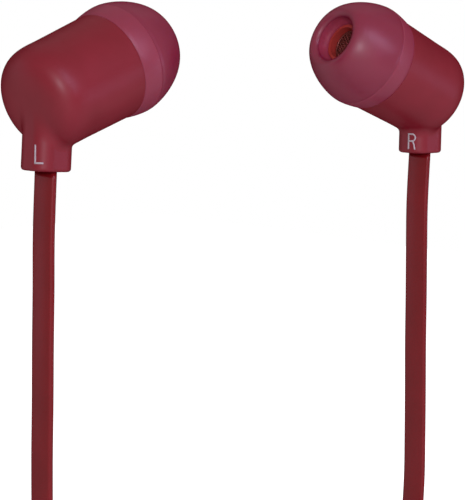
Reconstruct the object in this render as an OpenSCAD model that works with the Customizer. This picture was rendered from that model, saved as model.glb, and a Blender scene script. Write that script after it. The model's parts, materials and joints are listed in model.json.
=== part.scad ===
// Wired in-ear earphones: two buds held up as they sit in the ears, with the
// unused cord wound into a tied hank below them. Millimetres, +Z up.
// The origin is the middle of the left ear tip's mouth, on the nozzle axis.
// +X runs from the left bud to the right bud.

/* [Bud housing] */
// Angle by which the nozzle rises above the horizontal
nozzle_rise = 23; // [15:1:30]
// Outer diameter of the barrel where the rear dome starts
barrel_rear_d = 11.4; // [11.2:0.1:13]
// Outer diameter of the barrel at its front rim
barrel_front_d = 11.8; // [11.5:0.1:13.4]
// Length of the barrel from the dome to the front rim
barrel_len = 6.9; // [6.7:0.1:9]
// Length of the rear dome
dome_len = 4.8; // [4.6:0.1:6.5]
// Squareness of the rear dome, 2 for an ellipse
dome_power = 3.7; // [2.4:0.1:4]
// Wall behind the driver and in the dome
shell_wall = 1.1; // [0.8:0.1:1.4]

/* [Stem] */
// Width of the stem along the barrel
stem_w = 5; // [4.6:0.1:6]
// Depth of the stem across the barrel
stem_d = 4.4; // [4.3:0.1:6]
// Radius of the stem's upright edges
stem_corner = 1.7; // [0.6:0.1:2]
// Chamfer round the bottom of the stem
stem_chamfer = 0.25; // [0.1:0.05:0.5]
// Distance of the stem behind the middle of the dome
stem_back = 1.45; // [1:0.05:2.4]
// Distance of the stem's bottom below the middle of the dome
stem_drop = 8.5; // [8.2:0.1:12]

/* [Nozzle] */
// Outer diameter of the nozzle
nozzle_d = 4.6; // [4.2:0.1:5]
// Diameter of the sound bore
bore_d = 3.5; // [3:0.1:3.8]
// Distance of the nozzle's end from the front rim
nozzle_reach = 6.2; // [5.6:0.1:6.6]
// Length of the cone between the front flange and the nozzle
cone_len = 2.4; // [2:0.1:2.8]
// Thickness of the front flange
flange_t = 0.6; // [0.4:0.1:0.9]
// Thickness of the nozzle screen
screen_t = 0.3; // [0.2:0.05:0.4]
// Distance of the screen behind the nozzle's end
screen_inset = 0.9; // [0:0.1:1.2]
// Width of the ledge that holds the screen
screen_ledge = 0.2; // [0.1:0.05:0.3]

/* [Ear tip] */
// Diameter of the tip at the rear edge of its skirt
skirt_d = 11.9; // [11.7:0.1:13.6]
// Diameter of the tip where the band meets the dome
tip_d = 12.6; // [12:0.1:14]
// Length of the band behind the dome
band_len = 2.3; // [1.6:0.1:3]
// Length of the whole tip
tip_len = 7.85; // [7.5:0.05:9]
// Diameter of the opening at the mouth
mouth_d = 5.4; // [4.8:0.1:6]
// Width of the rounded lip round the opening
lip_w = 0.75; // [0.5:0.05:0.9]
// Length over which the opening flares out to the mouth
flare_len = 1.2; // [1:0.1:1.4]
// Roundness of the dome, 2 for an ellipse
tip_power = 1.55; // [1.5:0.05:2.2]
// Wall of the skirt
skirt_wall = 0.6; // [0.4:0.05:0.7]
// Wall of the inner sleeve
sleeve_wall = 0.75; // [0.5:0.05:1]
// Length of the solid nose in front of the skirt's hollow
nose_len = 1.5; // [1.2:0.1:2]
// Travel of the tip when it is pulled off
tip_travel = 6; // [4:0.5:8]

/* [Driver] */
// Diameter of the driver
driver_d = 9.2; // [8.8:0.1:9.4]
// Depth of the driver's frame
driver_depth = 3.5; // [3.4:0.05:3.8]
// Distance of the driver's back behind the front rim
driver_back = 5.8; // [5.6:0.05:6.2]
// Width of the ring of vents between the yoke and the frame's wall
vent_ring = 0.9; // [0.7:0.05:1]
// Thickness of the magnet
magnet_t = 1.3; // [1:0.05:1.5]
// Thickness of the pole plate
pole_t = 0.6; // [0.4:0.05:0.8]
// Wall of the voice coil
coil_wall = 0.2; // [0.15:0.01:0.22]
// Length of the voice coil
coil_len = 1.6; // [1.2:0.05:1.8]
// Thickness of the sheet-metal yoke's floor
yoke_floor = 0.6; // [0.4:0.05:0.7]
// Thickness of the diaphragm
diaphragm_t = 0.1; // [0.06:0.01:0.14]
// Height of the diaphragm's dome
diaphragm_rise = 0.35; // [0.2:0.05:0.4]
// Travel of the diaphragm either way
coil_travel = 0.2; // [0.1:0.05:0.2]
// Thickness of the driver's front cover
cover_t = 0.25; // [0.2:0.01:0.28]
// Diameter of each hole in the front cover
cover_hole_d = 1; // [0.6:0.1:1.2]
// Thickness of the gasket in front of the driver
gasket_t = 0.3; // [0.2:0.05:0.4]
// Diameter of the terminal board
board_d = 4.4; // [4:0.1:5]
// Thickness of the terminal board
board_t = 0.5; // [0.4:0.05:0.6]
// Diameter of each wire to the driver
wire_d = 0.5; // [0.4:0.05:0.6]

/* [Pair] */
// Distance between the two mouths along X
mouth_gap = 23.4; // [20:0.1:26]
// Distance of the right mouth in front of the left mouth along Y
pair_offset = 6.4; // [5.6:0.1:7.2]
// Height of the right mouth above the left mouth
right_rise = 0.65; // [0:0.05:1.5]
// Lean of the left bud, with its stem's foot outward
left_lean = 3.5; // [0:0.5:6]
// Turn of the right bud about the vertical, its mouth away in +Y
right_turn = 8.5; // [0:0.5:12]

/* [Cord] */
// Width of the flat cord
cord_w = 3.1; // [2.8:0.05:3.1]
// Thickness of the flat cord
cord_t = 0.9; // [0.8:0.05:1.1]
// Bevel on the edges of the flat cord
cord_bevel = 0.25; // [0.15:0.05:0.35]

/* [Hank] */
// Radius of the innermost fold, three cord widths
fold_r = 9.4; // [9.3:0.1:10.4]
// Half the length of the straight runs
half_run = 25; // [22:0.5:28]
// Step from one turn to the next
turn_step = 1.8; // [1.75:0.05:2.2]
// Step from one layer to the next
layer_step = 3.6; // [3.6:0.05:3.8]
// How far the runs are drawn in at the waist
draw_in = 7; // [6.2:0.1:7.2]
// Turns of each lead in the hank
lead_turns = 2; // [1:1:2]
// Full turns of the main cord before its last three quarters
main_turns = 3; // [2:1:3]
// Height of the middle of the hank
hank_z = -116; // [-130:1:-112]
// Height of the band that ties the hank
tie_h = 5; // [4:0.5:7]
// Thickness of the band that ties the hank
tie_t = 0.9; // [0.6:0.1:1.4]

/* [Splitter] */
// Length of the splitter
splitter_len = 16; // [14:0.5:18]
// Thickness of the splitter
splitter_t = 3.4; // [3:0.1:3.8]
// Wall of the splitter's two shells
splitter_wall = 0.7; // [0.5:0.1:0.9]

/* [Jack plug] */
// Diameter of the plug's contacts
jack_d = 3.5; // [3.5:0.1:3.5]
// Length of the sleeve contact
jack_sleeve_len = 7.1; // [6.5:0.1:7.5]
// Length of the ring contact
jack_ring_len = 2.1; // [1.8:0.1:2.4]
// Length of the tip contact
jack_tip_len = 3.6; // [3.2:0.1:4]
// Length of each insulating ring between the contacts
jack_insulator_len = 0.6; // [0.5:0.1:0.8]
// Diameter of the plug's body
plug_body_d = 6.2; // [5.5:0.1:6.6]
// Length of the plug's body
plug_body_len = 18; // [15:0.5:20]
// Length of the strain relief above the plug's body
plug_relief_len = 9; // [7:0.5:11]

/* [Hidden] */
// Clearances
fit = 0.05;          // between a spigot or a driver and its pocket
edge_gap = 0.12;     // between the ear tip's skirt and the barrel's rim
skirt_clear = 0.2;   // between the front flange and the inside of the skirt
tie_gap = 0.35;      // between the hank and its tie
over = 1;            // overshoot of a cut
$fn = 64;

// Bud, measured along the nozzle axis from the base of the rear dome
rim_s = barrel_len;
skirt_s = rim_s + edge_gap;
mouth_s = skirt_s + tip_len;
crease_s = skirt_s + band_len;
nozzle_s = rim_s + nozzle_reach;
cone_end_s = rim_s + flange_t + cone_len;
screen_s = nozzle_s - screen_inset - screen_t;
axis_dir = [cos(nozzle_rise), 0, sin(nozzle_rise)];
dome_centre = -mouth_s * axis_dir;
stem_x = dome_centre[0] - stem_back;
stem_z = dome_centre[2] - stem_drop;
ledge_w = 0.5;
pocket_r = driver_d / 2 + fit;
cavity_r = barrel_rear_d / 2 - shell_wall - 0.5 * fit;
ledge_r = driver_d / 2 - ledge_w;
seat_s = rim_s - driver_back;
driver_front_s = seat_s + driver_depth;
spigot_s = driver_front_s + gasket_t;
spigot_bore_r = ledge_r;
flange_r = skirt_d / 2 - skirt_wall - skirt_clear;
sleeve_s = cone_end_s + skirt_clear;
dome_steps = 14;
lip_steps = 5;

// Driver, measured on the same axis
frame_wall = 0.4;
web_t = 0.6;
yoke_wall = 0.35;
yoke_proud = 0.9;       // how far the yoke stands out behind the frame
coil_gap_out = 0.13;    // between the voice coil and the yoke
coil_gap_in = 0.12;     // between the voice coil and the pole plate
magnet_inset = 0.2;     // of the magnet's edge behind the pole plate's
yoke_d = driver_d - 2 * frame_wall - 2 * vent_ring;
coil_d = yoke_d - 2 * yoke_wall - 2 * coil_gap_out;
pole_d = coil_d - 2 * coil_wall - 2 * coil_gap_in;
magnet_d = pole_d - 2 * magnet_inset;
diaphragm_d = yoke_d;   // the moving part, up to the surround
yoke_back_s = seat_s - yoke_proud;
magnet_s = yoke_back_s + yoke_floor;
pole_s = magnet_s + magnet_t;
yoke_front_s = pole_s + pole_t;
cover_s = driver_front_s - cover_t;
diaphragm_s = cover_s - coil_travel - diaphragm_rise - diaphragm_t - fit;
coil_s = diaphragm_s - coil_len;
surround_gap = 0.05;
surround_rise = 0.3;
vent_hole_d = 0.5;
vent_paper_t = 0.12;
vents = 8;
cover_ring_holes = 6;

// Stem fittings
grommet_neck = [2, 3.2, 1.6];
grommet_flange = [2.6, 3.4, 0.8];
crimp = [2.2, 3, 1.4];
wire_rise = 2;          // straight stretch of the wires above the crimp
wire_turn = 1.2;        // straight stretch of the wires behind the board
wire_lean = 0.5;        // lean of the wires towards the board
board_s = yoke_back_s - board_t;

// Middle of each stem's foot, and the way the left one points
down = [0, 0, -1];
up = [0, 0, 1];
left_foot = [stem_x * cos(left_lean) + stem_z * sin(left_lean), 0,
    stem_z * cos(left_lean) - stem_x * sin(left_lean)];
left_foot_dir = [-sin(left_lean), 0, -cos(left_lean)];
right_foot = [mouth_gap - stem_x * cos(right_turn), stem_x * sin(right_turn) - pair_offset,
    right_rise + stem_z];

// Hank
hank_x = mouth_gap / 2;
hank_y = -pair_offset / 2;
main_end_r = fold_r + turn_step * (main_turns + 0.75);
splitter_w = layer_step + cord_w + 2 * splitter_wall;
split_y = layer_step / 2;
run_rings = 6;
fold_rings = 6;
loop_rings = 2 * run_rings + 2 * fold_rings;
run_step = 2 * half_run / run_rings;
tie_rise = (draw_in - waist(run_step)) * tie_h / 2 / run_step;
tie_left = fold_r + turn_step * (main_turns + 0.375) - draw_in + cord_t / 2 + tie_rise
    + tie_gap;
tie_right = tie_left - turn_step / 2;

// Plug
plug_aside = 4;
plug_below = 15;
plug_chamfer = 0.6;     // round the ends of the plug's body
relief_rim = 0.3;       // of the strain relief round the cord
tip_waist = 0.5;        // depth of the groove behind the contact's nose
nose_r = 0.5;           // of the flat end of the contact's nose
plug_x = hank_x + main_end_r + plug_aside;
plug_z = hank_z + half_run - plug_below;
jack_z = plug_z - plug_relief_len - plug_body_len;

// ---------------------------------------------------------------- placing

// A bud is drawn upright, with its mouth at the origin and its nozzle towards
// +X. Its round pieces lie along the nozzle axis, at a distance from the base
// of the rear dome.
module on_axis(s) {
    rotate([0, 90 - nozzle_rise, 0]) translate([0, 0, s - mouth_s]) children();
}

module left_side() {
    rotate([0, left_lean, 0]) children();
}
module right_side() {
    translate([mouth_gap, -pair_offset, right_rise]) rotate([0, 0, -right_turn])
        mirror([1, 0, 0]) children();
}

module disc(d, h, s) {
    on_axis(s) cylinder(d = d, h = h);
}

module ring(d, bore, h, s) {
    on_axis(s) difference() {
        cylinder(d = d, h = h);
        translate([0, 0, -over]) cylinder(d = bore, h = h + 2 * over);
    }
}

module rounded_rect(w, d, r) {
    square([w - 2 * r, d], center = true);
    square([w, d - 2 * r], center = true);
    for (x = [-1, 1], y = [-1, 1])
        translate([x * (w / 2 - r), y * (d / 2 - r)]) circle(r);
}

// ---------------------------------------------------------------- housing

// Half outline of a dome with a squareness, from its pole to its base
function dome_line(r, len, power) = [
    for (i = [0 : dome_steps])
        let (a = 90 * i / dome_steps)
        [r * pow(sin(a), 2 / power), -len * pow(cos(a), 2 / power)]
];

module barrel_solid() {
    on_axis(0) rotate_extrude() polygon(concat(
        dome_line(barrel_rear_d / 2, dome_len, dome_power),
        [[barrel_front_d / 2, rim_s], [0, rim_s]]));
}

module barrel_hollow() {
    on_axis(0) {
        rotate_extrude() polygon(concat(
            dome_line(cavity_r, dome_len - shell_wall, dome_power),
            [[ledge_r, 0], [ledge_r, seat_s + over / 2], [0, seat_s + over / 2]]));
        translate([0, 0, seat_s]) cylinder(r = pocket_r, h = rim_s - seat_s + over);
    }
}

module stem_solid() {
    translate([stem_x, 0, stem_z]) {
        translate([0, 0, stem_chamfer])
            linear_extrude(stem_drop - stem_chamfer) rounded_rect(stem_w, stem_d, stem_corner);
        linear_extrude(stem_chamfer)
            rounded_rect(stem_w - 2 * stem_chamfer, stem_d - 2 * stem_chamfer,
                stem_corner - stem_chamfer);
    }
}

// A block in the stem, centred on it, from one height above its bottom
module stem_block(size, z) {
    translate([stem_x - size[0] / 2, -size[1] / 2, stem_z + z]) cube(size);
}

module rear_shell() {
    color("#7d2a34") difference() {
        union() {
            barrel_solid();
            stem_solid();
        }
        barrel_hollow();
        stem_block([grommet_neck[0], grommet_neck[1], grommet_neck[2] + over], -over / 2);
        stem_block([grommet_flange[0], grommet_flange[1], stem_drop - grommet_neck[2] - over],
            grommet_neck[2]);
    }
}

module front_shell() {
    color("#6b2230") on_axis(0) rotate_extrude() polygon([
        [spigot_bore_r, spigot_s],
        [pocket_r - fit, spigot_s],
        [pocket_r - fit, rim_s],
        [flange_r, rim_s],
        [flange_r, rim_s + flange_t],
        [nozzle_d / 2, cone_end_s],
        [nozzle_d / 2, nozzle_s],
        [bore_d / 2 + screen_ledge, nozzle_s],
        [bore_d / 2 + screen_ledge, screen_s],
        [bore_d / 2, screen_s],
        [bore_d / 2, cone_end_s - flange_t],
        [spigot_bore_r, rim_s]
    ]);
}

module nozzle_screen() {
    color("#4a1418") disc(bore_d + 2 * screen_ledge, screen_t, screen_s);
}

// Half outline of the ear tip's dome, from the crease forward to the lip
function tip_line(base_r, end_r, len, power) = [
    for (i = [0 : dome_steps])
        let (a = 90 * i / dome_steps)
        [end_r + (base_r - end_r) * pow(cos(a), 2 / power), len * pow(sin(a), 2 / power)]
];

module ear_tip() {
    dome_start = crease_s;
    dome_reach = mouth_s - crease_s;
    lip_end = mouth_d / 2 + lip_w;
    hollow_reach = dome_reach - nose_len;
    sleeve_r = nozzle_d / 2 + fit + sleeve_wall;
    color("#7f3a50") on_axis(0) difference() {
        rotate_extrude() polygon(concat(
            [[0, skirt_s], [skirt_d / 2, skirt_s]],
            [for (p = tip_line(tip_d / 2, lip_end, dome_reach, tip_power))
                [p[0], p[1] + dome_start]],
            [[0, mouth_s]]));
        // Sound bore, flared at the mouth up to the rounded lip
        translate([0, 0, skirt_s - over]) cylinder(r = nozzle_d / 2 + fit, h = tip_len + 2 * over);
        rotate_extrude() polygon(concat(
            [[0, mouth_s - flare_len], [nozzle_d / 2 + fit, mouth_s - flare_len]],
            [for (i = [0 : lip_steps])
                let (a = 90 * i / lip_steps)
                [lip_end - lip_w * cos(a), mouth_s - lip_w * (1 - sin(a))]],
            [[lip_end, mouth_s + over], [0, mouth_s + over]]));
        // Hollow between the skirt and the sleeve
        difference() {
            rotate_extrude() polygon(concat(
                [[0, skirt_s - over], [skirt_d / 2 - skirt_wall, skirt_s - over],
                    [skirt_d / 2 - skirt_wall, skirt_s]],
                [for (p = tip_line(tip_d / 2 - skirt_wall, sleeve_r, hollow_reach, tip_power))
                    [p[0], p[1] + dome_start]],
                [[0, dome_start + hollow_reach]]));
            translate([0, 0, sleeve_s]) cylinder(r = sleeve_r, h = tip_len);
        }
    }
}

// ---------------------------------------------------------------- driver

module driver_frame() {
    color("#2c2c30") on_axis(0) difference() {
        union() {
            translate([0, 0, seat_s]) difference() {
                cylinder(d = driver_d, h = driver_depth);
                translate([0, 0, -over])
                    cylinder(d = driver_d - 2 * frame_wall, h = driver_depth + 2 * over);
            }
            translate([0, 0, seat_s]) cylinder(d = driver_d - frame_wall, h = web_t);
        }
        translate([0, 0, seat_s - over]) cylinder(d = yoke_d, h = web_t + 2 * over);
        for (i = [0 : vents - 1])
            rotate([0, 0, 360 * i / vents])
                translate([(yoke_d + driver_d - 2 * frame_wall) / 4, 0, seat_s - over])
                    cylinder(d = vent_hole_d, h = web_t + 2 * over);
    }
}

module yoke() {
    color("#b9bcc2") on_axis(yoke_back_s) difference() {
        cylinder(d = yoke_d, h = yoke_front_s - yoke_back_s);
        translate([0, 0, yoke_floor])
            cylinder(d = yoke_d - 2 * yoke_wall, h = yoke_front_s - yoke_back_s);
    }
}

module magnet() {
    color("#8d9096") disc(magnet_d, magnet_t, magnet_s);
}

module pole_plate() {
    color("#c9ccd1") disc(pole_d, pole_t, pole_s);
}

module voice_coil() {
    color("#b5672d") ring(coil_d, coil_d - 2 * coil_wall, coil_len, coil_s);
}

// Outline of the dome's upper or lower face
function cap_line(r, rise, lift) = [
    for (i = [0 : dome_steps])
        let (x = r * i / dome_steps)
        [x, lift + rise * (1 - pow(x / r, 2))]
];

module diaphragm() {
    inner = coil_d / 2 - coil_wall;
    lower = cap_line(inner, diaphragm_rise, 0);
    upper = cap_line(inner, diaphragm_rise, diaphragm_t);
    color("#d8d2c4") on_axis(diaphragm_s) rotate_extrude() polygon(concat(
        lower,
        [[diaphragm_d / 2, 0], [diaphragm_d / 2, diaphragm_t]],
        [for (i = [dome_steps : -1 : 0]) upper[i]]));
}

module surround() {
    inner = diaphragm_d / 2 + surround_gap;
    outer = driver_d / 2 - frame_wall;
    middle = (inner + outer) / 2;
    color("#3a3a3e") on_axis(diaphragm_s) rotate_extrude() polygon([
        [inner, 0], [middle, surround_rise], [outer, 0],
        [outer, diaphragm_t], [middle, surround_rise + diaphragm_t], [inner, diaphragm_t]
    ]);
}

module driver_cover() {
    cover_d = driver_d - 2 * frame_wall;
    color("#56565c") on_axis(cover_s) difference() {
        cylinder(d = cover_d, h = cover_t);
        translate([0, 0, -over]) cylinder(d = cover_hole_d, h = cover_t + 2 * over);
        for (i = [0 : cover_ring_holes - 1])
            rotate([0, 0, 360 * i / cover_ring_holes])
                translate([cover_d / 4, 0, -over])
                    cylinder(d = cover_hole_d, h = cover_t + 2 * over);
    }
}

module vent_paper() {
    color("#efe9dc") ring(2 * ledge_r - 2 * fit, yoke_d + 2 * fit, vent_paper_t,
        seat_s - vent_paper_t);
}

module gasket() {
    color("#1d1d1f") ring(driver_d, 2 * ledge_r, gasket_t, driver_front_s);
}

module terminal_board() {
    color("#2f6b3d") disc(board_d, board_t, board_s);
}

// ---------------------------------------------------------------- stem fittings

module cord_grommet() {
    color("#5e1c28") {
        stem_block([grommet_neck[0] - 2 * fit, grommet_neck[1] - 2 * fit, grommet_neck[2]], 0);
        stem_block([grommet_flange[0] - 2 * fit, grommet_flange[1] - 2 * fit,
            grommet_flange[2]], grommet_neck[2]);
    }
}

module cord_crimp() {
    color("#a9acb1") stem_block(crimp, grommet_neck[2] + grommet_flange[2]);
}

// ---------------------------------------------------------------- cords

// A round point of a polyline smoothed by a curve through its points
function curve_point(p, i, t) =
    let (
        last = len(p) - 1,
        a = p[max(i - 1, 0)],
        b = p[i],
        c = p[min(i + 1, last)],
        d = p[min(i + 2, last)]
    )
    0.5 * (2 * b + (c - a) * t + (2 * a - 5 * b + 4 * c - d) * pow(t, 2)
        + (3 * b - a - 3 * c + d) * pow(t, 3));

function smooth(p, steps) = concat(
    [for (i = [0 : len(p) - 2], k = [0 : steps - 1]) curve_point(p, i, k / steps)],
    [p[len(p) - 1]]);

function along(p, i) =
    let (v = p[min(i + 1, len(p) - 1)] - p[max(i - 1, 0)]) v / norm(v);

// Outline of the flat cord with eight or six sides, as [across, through]
function flat_eight(w, t, b) = [
    [w / 2, t / 2 - b], [w / 2 - b, t / 2], [b - w / 2, t / 2], [-w / 2, t / 2 - b],
    [-w / 2, b - t / 2], [b - w / 2, -t / 2], [w / 2 - b, -t / 2], [w / 2, b - t / 2]
];
function flat_six(w, t, b) = [
    [w / 2, 0], [w / 2 - b, t / 2], [b - w / 2, t / 2],
    [-w / 2, 0], [b - w / 2, -t / 2], [w / 2 - b, -t / 2]
];
function round_outline(r, sides) = [
    for (k = [0 : sides - 1]) r * [cos(360 * k / sides), sin(360 * k / sides)]
];

// One ring of the sweep: the outline set square to the direction of travel
function ring_points(centre, dir, outline) =
    let (
        side = cross(dir, [0, 1, 0]),
        through = side / norm(side),
        across = cross(through, dir)
    )
    [for (q = outline) centre + q[0] * across + q[1] * through];

module sweep(points, outline, first_dir, last_dir) {
    n = len(outline);
    m = len(points);
    rings = [for (i = [0 : m - 1])
        ring_points(points[i],
            i == 0 ? first_dir : i == m - 1 ? last_dir : along(points, i), outline)];
    corners = [for (r = rings, q = r) q];
    sides = [for (i = [0 : m - 2], k = [0 : n - 1])
        let (a = i * n + k, b = i * n + (k + 1) % n, c = b + n, d = a + n)
        each [[a, c, b], [a, d, c]]];
    polyhedron(corners, concat(
        sides,
        [for (k = [1 : n - 2]) [0, k, k + 1]],
        [for (k = [1 : n - 2]) let (z = (m - 1) * n) [z, z + k + 1, z + k]]));
}

// A turn of the hank, by the count of rings from the top of the rising run.
// side is 1 where that run lies at -X and -1 where it lies at +X.
function waist(z) = draw_in * (1 + cos(180 * z / half_run)) / 2;
function hank_point(q, r, side, y) =
    let (
        turn = q - loop_rings * floor(q / loop_rings),
        part = floor(turn / fold_rings),
        t = (turn - part * fold_rings) / fold_rings,
        z = half_run * (1 - 2 * t)
    )
    part == 0 ? [-side * r * cos(180 * t), y, half_run + r * sin(180 * t)]
    : part == 1 ? [side * (r - waist(z)), y, z]
    : part == 2 ? [side * r * cos(180 * t), y, -half_run - r * sin(180 * t)]
    : [-side * (r - waist(z)), y, -z];

function hank_line(first, count, side, y) = [
    for (q = [0 : count])
        hank_centre + hank_point(q + first, fold_r + turn_step * q / loop_rings, side, y)
];
hank_centre = [hank_x, hank_y, hank_z];

// From the splitter a cord first runs straight, then swings out to a fold.
// way is 1 upward and -1 downward; x and y are where it arrives, start_y
// where it leaves.
function split_line(way, x, y, start_y) = concat(
    [hank_centre + [0, start_y, way * splitter_len / 2]],
    [for (i = [0 : run_rings - 1])
        let (t = i / run_rings, ease = pow(t, 2) * (3 - 2 * t))
        hank_centre + [
            x * ease,
            start_y + (y - start_y) * ease,
            way * (straight_z + (half_run - straight_z) * t)
        ]]
);
straight_z = splitter_len / 2 + cord_w;

// Every hank ends with a straight length of one cord width
function with_end(p, dir) = concat(p, [p[len(p) - 1] + cord_w * dir]);

function lead_hank_line(side) = with_end(concat(
    split_line(1, -side * fold_r, side * layer_step, side * split_y),
    hank_line(0, loop_rings * lead_turns, side, side * layer_step)), up);

function main_hank_line() = with_end(concat(
    split_line(-1, fold_r, 0, 0),
    hank_line(2 * fold_rings, loop_rings * main_turns + 3 * fold_rings, 1, 0)), down);

left_lead_path = lead_hank_line(1);
right_lead_path = lead_hank_line(-1);
main_path = main_hank_line();

// Route of a lead from the stem to the hank: down, then inward. Each row is
// the height, the left and the right lead's sway from its stem along X, the
// share of the way inward, and the share from the lead's layer to its stem.
lead_bend = [
    [-20, -0.3, -0.25, 0, 1], [-26, -0.35, -0.1, 0, 1], [-32, -0.45, 0.1, 0, 1],
    [-38, -0.5, 0.25, 0, 1], [-44, -0.6, 0.5, 0, 1], [-50, -0.6, 0.7, 0, 1],
    [-56, -0.55, 0.8, 0, 1], [-61, -0.4, 0.6, 0.02, 1], [-66, -0.2, 0.3, 0.12, 0.9],
    [-71, 0, 0, 0.3, 0.7], [-76, 0, 0, 0.55, 0.45], [-81, 0, 0, 0.8, 0.2],
    [-85.5, 0, 0, 0.95, 0.05]
];
function lead_line(foot, to, sway) = concat(
    [foot],
    [for (b = lead_bend) [
        foot[0] + b[sway] + (to[0] - foot[0]) * b[3],
        to[1] + (foot[1] - to[1]) * b[4],
        b[0]
    ]],
    [to]);
left_lead_line = lead_line(left_foot, left_lead_path[len(left_lead_path) - 1], 1);
right_lead_line = lead_line(right_foot, right_lead_path[len(right_lead_path) - 1], 2);

// Route of the main cord from the hank to the plug, as shares of the way
main_end_bend = [[0, 0.15], [0.15, 0.35], [0.5, 0.55], [0.85, 0.75], [1, 0.9]];
main_end_from = main_path[len(main_path) - 1];
main_end_to = [plug_x, hank_y, plug_z];
main_end_line = concat(
    [main_end_from],
    [for (b = main_end_bend) [
        main_end_from[0] + (main_end_to[0] - main_end_from[0]) * b[0],
        hank_y,
        main_end_from[2] + (main_end_to[2] - main_end_from[2]) * b[1]
    ]],
    [main_end_to]);

free_outline = flat_eight(cord_w, cord_t, cord_bevel);
hank_outline = flat_six(cord_w, cord_t, cord_bevel);

module free_cord(line, first_dir) {
    color("#67202a") sweep(smooth(line, 2), free_outline, first_dir, down);
}
module lead_hank(path) {
    color("#67202a") sweep(path, hank_outline, up, up);
}

module left_lead() {
    free_cord(left_lead_line, left_foot_dir);
}
module right_lead() {
    free_cord(right_lead_line, down);
}
module main_cord_end() {
    free_cord(main_end_line, down);
}
module main_cord_hank() {
    color("#67202a") sweep(main_path, hank_outline, down, down);
}

module wires() {
    start = grommet_neck[2] + grommet_flange[2] + crimp[2];
    back = dome_centre + board_s * axis_dir;
    for (y = [-1, 1])
        color(y < 0 ? "#c9802f" : "#3d6b3a") sweep([
            [stem_x, y * wire_d, stem_z + start],
            [stem_x, y * wire_d, stem_z + start + wire_rise],
            [stem_x + wire_lean, y * wire_d, back[2] - 2 * wire_lean],
            back - wire_turn * axis_dir + [0, y * wire_d, 0],
            back + [0, y * wire_d, 0]
        ], round_outline(wire_d / 2, 8), up, axis_dir);
}

// ---------------------------------------------------------------- on the cord

module splitter_half(side) {
    cavity = splitter_len - 4 * splitter_wall;
    color("#5e1c28") translate(hank_centre) difference() {
        translate([side < 0 ? -splitter_t / 2 : 0, -splitter_w / 2, -splitter_len / 2])
            cube([splitter_t / 2, splitter_w, splitter_len]);
        cube([splitter_t - 2 * splitter_wall, splitter_w - 2 * splitter_wall, cavity],
            center = true);
    }
}

module splitter_core() {
    color("#c9b48a") translate(hank_centre)
        cube([splitter_t - 2 * splitter_wall - 2 * fit, splitter_w - 2 * splitter_wall - 2 * fit,
            splitter_len - 4 * splitter_wall - 2 * fit], center = true);
}

module hank_tie() {
    inner_w = tie_left + tie_right;
    inner_d = 2 * (layer_step + cord_w / 2 + tie_gap);
    color("#2b2b2e") translate(hank_centre)
        translate([(tie_right - tie_left) / 2, 0, -tie_h / 2])
        linear_extrude(tie_h) difference() {
            rounded_rect(inner_w + 2 * tie_t, inner_d + 2 * tie_t, 2 * tie_t);
            rounded_rect(inner_w, inner_d, tie_t);
        }
}

// Turned round the plug's axis, from one height down to the next
module turned(z, points) {
    translate([plug_x, hank_y, z]) rotate_extrude() polygon(points);
}

module plug_relief() {
    top_r = cord_w / 2 + relief_rim;
    end_r = plug_body_d / 2 - plug_chamfer;
    color("#5e1c28") turned(plug_z, [
        [0, 0], [top_r, 0], [end_r, -plug_relief_len], [0, -plug_relief_len]
    ]);
}

module plug_body() {
    end_r = plug_body_d / 2 - plug_chamfer;
    color("#5e1c28") turned(plug_z - plug_relief_len, [
        [0, 0], [end_r, 0], [plug_body_d / 2, -plug_chamfer],
        [plug_body_d / 2, plug_chamfer - plug_body_len],
        [end_r, -plug_body_len], [0, -plug_body_len]
    ]);
}

module contact(z, len) {
    translate([plug_x, hank_y, z - len]) cylinder(d = jack_d, h = len);
}

module plug_sleeve() {
    color("#d9c27a") contact(jack_z, jack_sleeve_len);
}
module plug_insulators() {
    color("#222222") {
        contact(jack_z - jack_sleeve_len, jack_insulator_len);
        contact(jack_z - jack_sleeve_len - jack_insulator_len - jack_ring_len,
            jack_insulator_len);
    }
}
module plug_ring() {
    color("#d9c27a") contact(jack_z - jack_sleeve_len - jack_insulator_len, jack_ring_len);
}
module plug_tip() {
    neck_r = jack_d / 2 - tip_waist;
    top = jack_z - jack_sleeve_len - 2 * jack_insulator_len - jack_ring_len;
    color("#d9c27a") turned(top, [
        [0, 0], [neck_r, 0], [neck_r, -0.2 * jack_tip_len], [jack_d / 2, -0.45 * jack_tip_len],
        [jack_d / 2, -0.6 * jack_tip_len], [nose_r, -jack_tip_len], [0, -jack_tip_len]
    ]);
}

// ---------------------------------------------------------------- measures

function sum(v, i = 0) = i == len(v) ? 0 : v[i] + sum(v, i + 1);
function path_length(p) = sum([for (i = [1 : len(p) - 1]) norm(p[i] - p[i - 1])]);

// Distance from a point to the stretch between two others
function to_stretch(q, a, b) =
    let (
        v = b - a,
        t = min(max((q - a) * v / (v * v), 0), 1)
    )
    norm(q - a - t * v);

// Least gap between stretches of one hank that are not neighbours along it
skip_rings = 8;
function self_gap(p) = min([
    for (i = [0 : len(p) - 1], j = [0 : len(p) - 2])
        if (abs(i - j) > skip_rings) to_stretch(p[i], p[j], p[j + 1])
]) - cord_t;
echo(
    left_lead_gap = self_gap(left_lead_path),
    right_lead_gap = self_gap(right_lead_path),
    main_gap = self_gap(main_path),
    layer_gap = layer_step - cord_w
);
echo(
    left_lead_length = path_length(left_lead_line) + path_length(left_lead_path),
    right_lead_length = path_length(right_lead_line) + path_length(right_lead_path),
    main_length = path_length(main_path) + path_length(main_end_line)
);

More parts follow.
